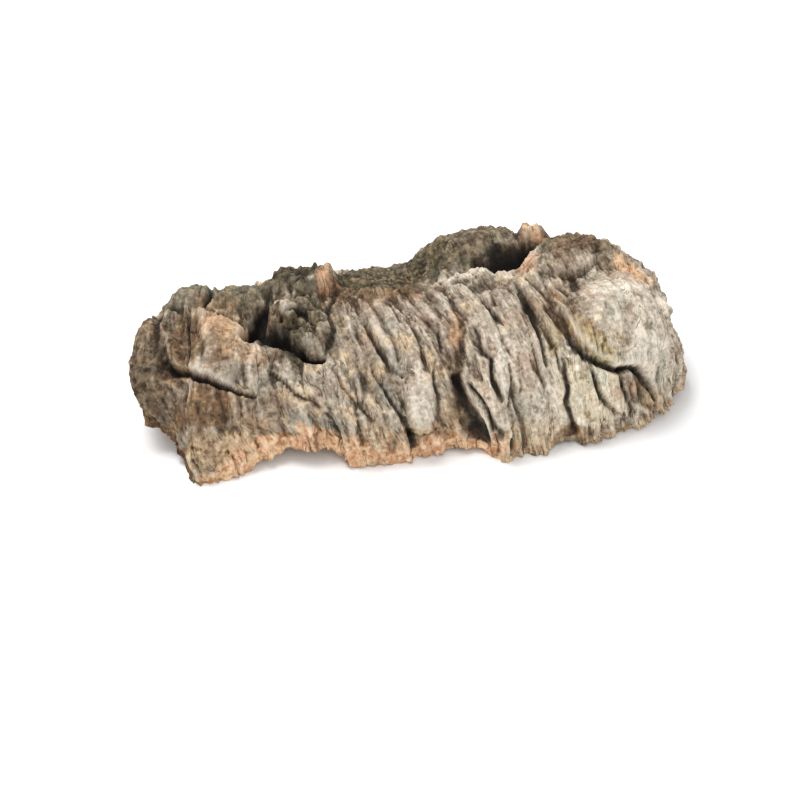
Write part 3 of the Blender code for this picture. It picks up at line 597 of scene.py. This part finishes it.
# Each effect on the colour: between which values it changes, and its share at both.
EFFECTS = {
    "yellow": (0.52, 0.62, 0.0, 0.6), "rosy": (0.53, 0.66, 0.0, 0.6), "cool": (0.34, 0.47, 0.6, 0.0),
    "rust": (0.53, 0.63, 0.0, 0.6), "specks": (0.68, 0.76, 0.0, 0.3), "openings": (0.48, 0.56),
    "hairline cracks": (0.010, 0.028, 0.7, 0.0), "crazed": (0.42, 0.58),
    "pale joints": (0.01, 0.16, 0.5, 0.0), "dark joints": (0.01, 0.05, 0.6, 0.0),
    # The effects on the next two lines paint light and shade: shade in low places, in hollows and on fissure
    # floors, and a highlight on ridge tops.
    "shaded": (-1.0, -0.2, 0.7, 0.0), "hollow_shade": (-1.0, -0.5, 0.9, 0.0),
    "crack_floor_shade": (0.34, 0.48, 0.45, 0.9), "painted_highlight": (0.2, 0.9, 0.0, 0.15),
    "roughness": (0.3, 0.7, 0.95, 0.75),
}
# The bump: how much each noise counts in it, its strength, and its height in metres.
BUMP_SHARE, BUMP_STRENGTH, BUMP_DISTANCE = 0.6, 0.7, 0.0009
SPECULAR = 0.25

FLOOR_HALF_SIDE, FLOOR_ROUGHNESS = 6.0, 0.9
BACKDROP_STRENGTH = 0.75
# The lights: place in metres, size in metres, and power in watts.
LIGHTS = {"key": ((-0.45, 0.35, 1.3), 0.7, 16.0), "fill": ((0.5, -1.1, 0.9), 0.9, 3.0)}

# The camera: degrees above the floor, metres from the bark, and where the photo's 800 pixels put the bark.
CAMERA_HEIGHT_ANGLE = 36.0
CAMERA_DISTANCE = 1.1
MM_PER_PIXEL = 0.5376
ORIGIN_PIXEL = (409.0, 388.6)
PICTURE_SIZE = 800
SENSOR_MM = 36.0
FARTHEST_SEEN = 50


def blurred(grid, reach):
    """A grid of numbers averaged over a bell of the given reach in cells."""
    steps = np.arange(-3 * reach, 3 * reach + 1)
    bell = np.exp(-0.5 * (steps / reach) ** 2)
    bell /= bell.sum()
    half = len(steps) // 2
    for axis in (0, 1):
        wide = np.pad(grid, [(half, half) if k == axis else (0, 0) for k in (0, 1)], mode="edge")
        shifts = (np.take(wide, np.arange(n, n + grid.shape[axis]), axis=axis) for n in range(len(steps)))
        grid = sum(weight * shifted for weight, shifted in zip(bell, shifts))
    return grid


def patch_masks(x, a, ragged):
    """How strongly each kind of colour lies at each place, as one array for each kind."""
    masks = {}
    for kind, patches in PATCHES.items():
        masks[kind] = np.zeros_like(x)
        for place_x, place_a, along, around, strength in patches:
            reach = np.hypot((x - place_x) / along, (a - place_a) / around) + PATCH_RAGGEDNESS * ragged
            masks[kind] = np.maximum(masks[kind], strength * (1 - smooth(*PATCH_EDGE, reach)))
    return masks


def crack_shade_and_highlight(x, a):
    """Painted shade on each fissure's floor, and a painted highlight on its proud lip, as thin lines along
    its path.
    """
    laid_x, laid_a = strayed(x, a)
    dark, pale = np.zeros_like(x), np.zeros_like(x)
    for path, half_widths, depth, proud in FISSURES.values():
        nearest, side, share = from_path(laid_x, laid_a, path)
        half_width = np.interp(share, (0, 1), half_widths)
        steep = np.clip(depth / (CRACK_STEEP * half_width), 0, 1) ** 2
        line = 1 - smooth(*CRACK_FLOOR, nearest / np.minimum(half_width, CRACK_WIDEST))
        ends = np.sqrt(np.sin(np.pi * np.clip(share, 0, 1)))
        dark = np.maximum(dark, line * steep * ends)
        if abs(proud) > LEAST_PROUD and depth > LEAST_DEEP:
            away = nearest / half_width
            on_lip = smooth(*LIP_START, away) * (1 - smooth(*LIP_STOP, away))
            pale = np.maximum(pale, on_lip * ends * (side * proud > 0))
    return dark, pale


def rim_cork(x, ragged):
    """How orange the broken rim is: weathered at the left end, tan cork, and crumbled cream at the right."""
    start, full, fading, gone = RIM_CORK_X
    at_left, at_right = RIM_CORK_RAGGEDNESS
    return smooth(start, full, x + at_left * ragged) * (1 - smooth(fading, gone, x + at_right * ragged))


def fine_relief(x, a, q, points):
    """The small fibres and grains that the larger relief leaves out."""
    tops, clefts = plates(q, a, 12.5, *FIBRE_PLATES)
    chips, cracks = plates(x, a, 20.5, *CHIPS)
    grains = GRAIN_HEIGHT * perlin(*np.moveaxis(points / GRAIN_SIZE, -1, 0))
    grit = GRAIN_HEIGHT * perlin(q / GRIT_ACROSS, a / GRIT_ALONG, 5.5)
    crumbly, blocky = crumbliness(x, a)
    fibrous = tops - clefts + GRIT_SHARE * grit
    fibrous *= 1 - FIBRES_LOST_WHERE_CRUMBLY * crumbly
    fibrous *= 1 - FIBRES_LOST_WHERE_PLAIN * plainness(x, a)
    grains *= GRAINS_WHERE_RIDGED + (1 - GRAINS_WHERE_RIDGED) * crumbly
    return fibrous + grains + (chips - cracks) * blocky


def crumbled(rows):
    """The rows of the broken edge, shaken a little every way but not below the ground."""
    for size, height in EDGE_CRUMBS:
        places = rows / size
        shake = [perlin(*np.moveaxis(places + EDGE_CRUMBS_APART * n, -1, 0)) for n in range(3)]
        rows = rows + height * np.stack(shake, axis=-1)
    rows[..., 2] = np.maximum(rows[..., 2], 0)
    return rows


def outside_fields(x, a, q, height, ragged):
    """What the colour reads on the bark's outside: one array for each field."""
    masks = patch_masks(x, a, ragged)
    above_foot = a - a[:, :1]
    creep = (1 - smooth(*RIM_CREEP, above_foot + CREEP_RAGGEDNESS * ragged)) * rim_cork(x, ragged)
    masks["cork"] = np.maximum(masks["cork"], CREEP_STRENGTH * creep)
    fading = RIM_CORK_X[2]
    stained = smooth(*STAIN_SPOTS, -ragged) * (1 - smooth(*RIM_STAIN, above_foot))
    stained *= smooth(fading, fading + STAIN_RUN, x)
    masks["brown"] = np.maximum(masks["brown"], STAIN_STRENGTH * stained)
    # Painted shade along the fissures' floors, and a painted highlight on their proud lips.
    crack, lip = crack_shade_and_highlight(x, a)
    return {
        # Height against its surroundings, which sets painted shade in low places and hollows and painted
        # highlights on ridges.
        "ridge": np.clip((height - blurred(height, RIDGE_REACH)) / RIDGE_FULL, -1, 1),
        "swell": np.clip((height - blurred(height, SWELL_REACH)) / SWELL_FULL, -1, 1),
        "crack": crack, "lip": lip, "plain": plainness(x, a), "belly": np.zeros_like(x),
        "flow_q": q, "flow_a": a, **masks,
    }


def rim_fields(x, a, q, at_back, ragged):
    """What the colour reads on the broken edge, by the places and the raggedness along its border."""
    orange = rim_cork(x, ragged) * np.where(at_back, BACK_RIM_SHADE, 1.0)
    everywhere = at_back | (x > RIM_CORK_X[2])
    weathered = smooth(*WEATHERED_SPOTS, -ragged) * np.where(everywhere, 1.0, WEATHERED_AT_FRONT)
    at_left = smooth(*LEFT_RIM_X, x)
    return {
        "flow_q": q, "flow_a": a, "cork": RIM_CORK * orange, "pale": 1 - orange,
        "tan": np.clip(RIM_TAN + RIM_TAN_RAGGEDNESS * ragged, RIM_TAN_LEAST, 1),
        "brown": np.maximum(at_left, WEATHERED_SHARE * weathered), "dark": LEFT_RIM_DARK * at_left,
    }


def shell_faces(outer, edge, inner):
    """The faces of the closed shell, over the points of its three grids one after the other."""
    indexes, first = [], 0
    for grid in (outer, edge, inner):
        count = grid.shape[0] * grid.shape[1]
        indexes.append(first + np.arange(count).reshape(grid.shape[:2]))
        first += count
    outer_index, edge_index, inner_index = indexes
    rings = [border(outer_index), *edge_index]
    faces = grid_faces(outer_index) + grid_faces(inner_index, flip=True)
    for ring, following in zip(rings, rings[1:]):
        faces += ring_faces(ring, following)
    return faces + stitch_faces(rings[-1], border(inner_index), INNER_STEP)


def shell():
    """Points, faces and surface fields of the whole closed shell."""
    u, v = np.meshgrid(np.linspace(0, 1, COLUMNS + 1), np.linspace(0, 1, ROWS + 1), indexing="ij")
    base = arch(u, v)
    normal = outward(base)
    x, a, q = base[..., 0], way_from_crest(base), crest_x(u)
    height = relief(x, a, q, base) + fine_relief(x, a, q + waver(x, a), base)
    deepest = DEEPEST_SHARE * (WALL_AT_FOOT + (WALL_AT_CREST - WALL_AT_FOOT) * np.sin(np.pi * v))
    height = np.where(height < 0, -deepest * np.tanh(-height / deepest), height)
    outer = base + normal * height[..., None]
    edge = crumbled(broken_edge(outer, base, normal, u, v))
    coarse = (slice(None, None, INNER_STEP),) * 2
    inner = inner_side(u[coarse], v[coarse])
    points = np.concatenate([grid.reshape(-1, 3) for grid in (outer, edge, inner)])

    ragged = sum(
        share * perlin(x / along, a / around, layer) for along, around, layer, share in RAGGED_NOISES
    )
    on_outside = outside_fields(x, a, q, height, ragged)
    on_rim = rim_fields(border(x), border(a), border(q), border(v) > 0.5, border(ragged))
    on_inside = {"flow_q": q[coarse], "flow_a": a[coarse], "belly": np.ones(inner.shape[:2])}
    rim_nothing, inner_nothing = np.zeros(edge.shape[1]), np.zeros(inner.shape[:2])
    fields = {
        name: np.concatenate([
            values.ravel(),
            np.tile(on_rim.get(name, rim_nothing), len(edge)),
            on_inside.get(name, inner_nothing).ravel(),
        ])
        for name, values in on_outside.items()
    }
    return points, shell_faces(outer, edge, inner), fields


def placed(points):
    """The points moved so that their box stands where the CAD's box stands."""
    low, high = points.min(axis=0), points.max(axis=0)
    cad_low, cad_high = (np.array(corner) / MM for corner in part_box("bark"))
    shift = [*((cad_low + cad_high - low - high)[:2] / 2), cad_low[2] - low[2]]
    return points + shift, shift


def bark_piece(material):
    """The bark as one closed mesh, in the place of the CAD's solid. Returns how far it was moved."""
    points, faces, fields = shell()
    points, shift = placed(points)
    mesh = bpy.data.meshes.new("bark_surface")
    mesh.from_pydata((points * MM).tolist(), [], faces)
    mesh.polygons.foreach_set("use_smooth", [True] * len(mesh.polygons))
    for name, values in fields.items():
        mesh.attributes.new(name, "FLOAT", "POINT").data.foreach_set("value", values.astype(np.float32))
    mesh.materials.append(material)
    piece = bpy.data.objects.new("bark_surface", mesh)
    bpy.context.scene.collection.objects.link(piece)
    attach(piece, "root")
    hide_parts("bark")
    return shift


def linear(tone):
    """An sRGB tone from 0 to 255 as a linear colour with alpha."""
    shares = [c / 255 for c in tone]
    return (*(s / 12.92 if s <= 0.04045 else ((s + 0.055) / 1.055) ** 2.4 for s in shares), 1.0)


class Nodes:
    """Short ways of adding nodes to one new material."""

    def __init__(self, name):
        self.material = bpy.data.materials.new(name)
        self.material.use_nodes = True
        self.tree = self.material.node_tree
        self.shader = self.tree.nodes["Principled BSDF"]
        self.place = self.add("ShaderNodeTexCoord").outputs["Object"]

    def feed(self, node, sockets):
        """Links each value that is a socket, and writes each other one on the node's own socket."""
        for key, value in sockets.items():
            if isinstance(value, bpy.types.NodeSocket):
                self.tree.links.new(value, node.inputs[key])
            else:
                node.inputs[key].default_value = value

    def add(self, kind, sockets=None, **settings):
        made = self.tree.nodes.new(kind)
        for name, value in settings.items():
            setattr(made, name, value)
        self.feed(made, sockets or {})
        return made

    def field(self, name):
        return self.add("ShaderNodeAttribute", attribute_name=name).outputs["Fac"]

    def maths(self, operation, a, b=0.0):
        return self.add("ShaderNodeMath", {0: a, 1: b}, operation=operation).outputs[0]

    def vector(self, operation, a, b):
        return self.add("ShaderNodeVectorMath", {0: a, 1: b}, operation=operation).outputs[0]

    def times(self, a, b):
        return self.maths("MULTIPLY", a, b)

    def total(self, start, *parts):
        for part in parts:
            start = self.maths("ADD", start, part)
        return start

    def noise(self, place, scale, detail, roughness):
        sockets = {"Vector": place, "Scale": scale, "Detail": detail, "Roughness": roughness}
        return self.add("ShaderNodeTexNoise", sockets).outputs[0]

    def named_noise(self, name):
        return self.noise(self.place, *NOISES[name])

    def weighed(self, values, sum_name):
        """The sum of some values that lie about a half, each swung about zero by its weight."""
        weights = WEIGHTS[sum_name]
        return self.total(*(
            self.times(self.maths("SUBTRACT", values[name], 0.5), weights[name]) for name in weights
        ))

    def ramp(self, value, low, high, to_low=0.0, to_high=1.0):
        sockets = {0: value, 1: low, 2: high, 3: to_low, 4: to_high}
        return self.add("ShaderNodeMapRange", sockets, interpolation_type="SMOOTHSTEP").outputs[0]

    def effect(self, name, value):
        return self.ramp(value, *EFFECTS[name])

    def mix(self, share, a, b, blend="MIX"):
        made = self.add("ShaderNodeMix", {0: share, 6: a, 7: b}, data_type="RGBA", blend_type=blend)
        return made.outputs[2]

    def tint(self, share, colour, tone_name, blend="MIX"):
        return self.mix(share, colour, linear(TONES[tone_name]), blend)

    def three(self, kind, value):
        """The dark, middle and light tone of one kind, by a value."""
        dark, middle, light = (linear(TONES[kind + end]) for end in (" dark", "", " light"))
        low, high = TONE_SPREAD
        halfway = 0.5 * (low + high)
        lower = self.mix(self.ramp(value, low, halfway), dark, middle)
        return self.mix(self.ramp(value, halfway, high), lower, light)


def surface_noises(nodes):
    """The noises that the bark's look is made of, by name: those in space, and the streaks on its ridges."""
    values = {name: nodes.named_noise(name) for name in ("broad", "patchy", "grain", "grit", "clouds")}
    flow = {0: nodes.field("flow_q"), 1: nodes.field("flow_a")}
    bend = {0: nodes.times(nodes.named_noise("bend"), STREAK_BEND)}
    flow, bend = (nodes.add("ShaderNodeCombineXYZ", sockets).outputs[0] for sockets in (flow, bend))
    along = nodes.vector("ADD", flow, bend)
    for name, (across, length, detail) in STREAKS.items():
        stretched = nodes.vector("MULTIPLY", along, (1 / across, 1 / length, 1.0))
        values[name] = nodes.noise(stretched, 1.0, detail, STREAK_ROUGHNESS)
    return values


def body_colour(nodes, values, quiet, ridge):
    """The bark's colour: each kind in its place, with streaks, spots, a faint change of hue, and painted
    light on the ridges and painted shade between them.
    """
    streaks = nodes.times(nodes.weighed(values, "streaks"), quiet)
    clouds = nodes.times(nodes.weighed(values, "clouds"), nodes.field("crazed"))
    spots, broad = nodes.weighed(values, "spots"), nodes.weighed(values, "broad")
    # The ridge term paints light on ridge tops and shade between them, here and in the crumbs.
    tone = nodes.total(0.5, streaks, spots, clouds, broad, nodes.times(ridge, RIDGE_SHADING_IN_TONE))
    crumbs = nodes.total(0.5, nodes.weighed(values, "crumbs"), nodes.times(ridge, RIDGE_SHADING_IN_CRUMBS))

    yellowed = nodes.effect("yellow", nodes.named_noise("yellow"))
    colour = nodes.mix(yellowed, nodes.three("bark", tone), nodes.three("tan", tone))
    for kind in ("dark", "pale", "cream", "tan", "olive", "brown", "cork", "belly"):
        seen_by = crumbs if kind in ("dark", "cork") else tone
        colour = nodes.mix(nodes.field(kind), colour, nodes.three(kind, seen_by))
        if kind == "pale":
            colour = nodes.tint(nodes.field("lichen"), colour, "lichen")
    hue = nodes.named_noise("hue")
    for name in ("rosy", "cool"):
        colour = nodes.tint(nodes.effect(name, hue), colour, name, "MULTIPLY")
    speckle = nodes.total(0.5, nodes.weighed(values, "speckle"))
    return nodes.mix(SPECKLE_SHARE, colour, speckle, "OVERLAY")


def marked(nodes, colour, values, quiet):
    """The colour with its small marks: rust in the cork, specks, hairline cracks, and the crazed net."""
    rusty = nodes.times(nodes.field("cork"), nodes.effect("rust", values["patchy"]))
    colour = nodes.tint(rusty, colour, "rust")
    colour = nodes.tint(nodes.effect("specks", nodes.named_noise("specks")), colour, "cleft")
    crossing = nodes.maths("ABSOLUTE", nodes.maths("SUBTRACT", values["lines"], 0.5))
    opened = nodes.effect("openings", nodes.named_noise("openings"))
    cracked = nodes.times(nodes.times(nodes.effect("hairline cracks", crossing), opened), quiet)
    colour = nodes.tint(cracked, colour, "cleft")
    bent = nodes.vector("ADD", nodes.place, nodes.times(values["patchy"], NET_BEND))
    net = nodes.add("ShaderNodeTexVoronoi", {"Vector": bent, "Scale": NET_SCALE}, feature="DISTANCE_TO_EDGE")
    crazed = nodes.times(nodes.field("crazed"), nodes.effect("crazed", values["patchy"]))
    for joints, tone_name in (("pale joints", "cream light"), ("dark joints", "cleft")):
        share = nodes.times(nodes.effect(joints, net.outputs[0]), crazed)
        colour = nodes.tint(share, colour, tone_name)
    return colour


def shaded(nodes, colour, values, ridge):
    """The colour with painted shade where the bark is low, on the fissures' floors, in its hollows and in the
    holes, and painted highlights on its ridges and proud lips.
    """
    # Painted shade in the low places between the ridges.
    colour = nodes.tint(nodes.effect("shaded", ridge), colour, "cleft")
    # Painted shade on the fissures' floors, in the broad hollows and in the holes.
    crack_shade = nodes.times(nodes.field("crack"), nodes.effect("crack_floor_shade", values["patchy"]))
    for share in (nodes.effect("hollow_shade", nodes.field("swell")), crack_shade, nodes.field("hole_shade")):
        colour = nodes.tint(share, colour, "deep_shade")
    # Painted highlight on ridge tops and on the fissures' proud lips.
    painted_highlight = nodes.total(nodes.effect("painted_highlight", ridge), nodes.times(nodes.field("lip"), LIP_HIGHLIGHT))
    painted_highlight = nodes.times(painted_highlight, nodes.maths("SUBTRACT", 1.0, nodes.field("dark")))
    return nodes.tint(painted_highlight, colour, "pale light")


def bark_look():
    """The bark's material: its colour with painted shade and highlights, a fine bump, and a roughness that
    follows the fibres.
    """
    nodes = Nodes("bark_look")
    values = surface_noises(nodes)
    ridge = nodes.field("ridge")
    calm = nodes.maths("MAXIMUM", nodes.field("plain"), nodes.field("calm"))
    quiet = nodes.maths("SUBTRACT", 1.0, nodes.times(calm, CALMING))
    colour = body_colour(nodes, values, quiet, ridge)
    colour = shaded(nodes, marked(nodes, colour, values, quiet), values, ridge)
    height = nodes.total(*(nodes.times(values[name], BUMP_SHARE) for name in ("fine", "grain")))
    sockets = {"Strength": BUMP_STRENGTH, "Distance": BUMP_DISTANCE, "Height": height}
    nodes.feed(nodes.shader, {
        "Base Color": colour,
        "Normal": nodes.add("ShaderNodeBump", sockets).outputs[0],
        "Roughness": nodes.effect("roughness", values["fine"]),
        "Specular IOR Level": SPECULAR,
    })
    return nodes.material


def floor_piece():
    """The pale floor that the bark lies on."""
    nodes = Nodes("floor_look")
    tones = (linear(TONES[name]) for name in ("floor dark", "floor light"))
    colour = nodes.mix(nodes.named_noise("floor"), *tones)
    nodes.feed(nodes.shader, {"Base Color": colour, "Roughness": FLOOR_ROUGHNESS})
    mesh = bpy.data.meshes.new("floor")
    corners = [(FLOOR_HALF_SIDE * x, FLOOR_HALF_SIDE * y, 0) for x, y in ((-1, -1), (1, -1), (1, 1), (-1, 1))]
    mesh.from_pydata(corners, [], [(0, 1, 2, 3)])
    mesh.materials.append(nodes.material)
    floor = bpy.data.objects.new("floor", mesh)
    bpy.context.scene.collection.objects.link(floor)


def camera(shift):
    """The photo's view: its height angle, its scale, and the pixel that the bark's middle lies at."""
    angle = math.radians(CAMERA_HEIGHT_ANGLE)
    back = Vector((0, -math.cos(angle), math.sin(angle)))
    up = Vector((0, math.sin(angle), math.cos(angle)))
    middle = PICTURE_SIZE / 2
    target = Vector((middle - ORIGIN_PIXEL[0], 0, 0)) - up * (middle - ORIGIN_PIXEL[1])
    target = target * MM_PER_PIXEL * MM + Vector(shift) * MM
    data = bpy.data.cameras.new("camera")
    data.sensor_width = SENSOR_MM
    data.lens = SENSOR_MM * CAMERA_DISTANCE / (PICTURE_SIZE * MM_PER_PIXEL * MM)
    data.clip_end = FARTHEST_SEEN
    holder = bpy.data.objects.new("camera", data)
    holder.location = target + back * CAMERA_DISTANCE
    holder.rotation_euler = (-back).to_track_quat("-Z", "Y").to_euler()
    bpy.context.scene.collection.objects.link(holder)
    bpy.context.scene.camera = holder


def area_light(name, place, size, power):
    """A square light that faces the bark's middle."""
    data = bpy.data.lights.new(name, "AREA")
    data.size = size
    data.energy = power
    holder = bpy.data.objects.new(name, data)
    holder.location = place
    holder.rotation_euler = (-Vector(place)).to_track_quat("-Z", "Y").to_euler()
    bpy.context.scene.collection.objects.link(holder)


def light():
    """A bright, even backdrop with a key light from behind on the left and a weak fill in front."""
    world = bpy.data.worlds.new("studio")
    world.use_nodes = True
    backdrop = world.node_tree.nodes["Background"]
    backdrop.inputs["Color"].default_value = (1.0, 1.0, 1.0, 1.0)
    backdrop.inputs["Strength"].default_value = BACKDROP_STRENGTH
    bpy.context.scene.world = world
    for name, settings in LIGHTS.items():
        area_light(name, *settings)
    bpy.context.scene.view_settings.view_transform = "Standard"


def main():
    shift = bark_piece(bark_look())
    floor_piece()
    camera(shift)
    light()


main()
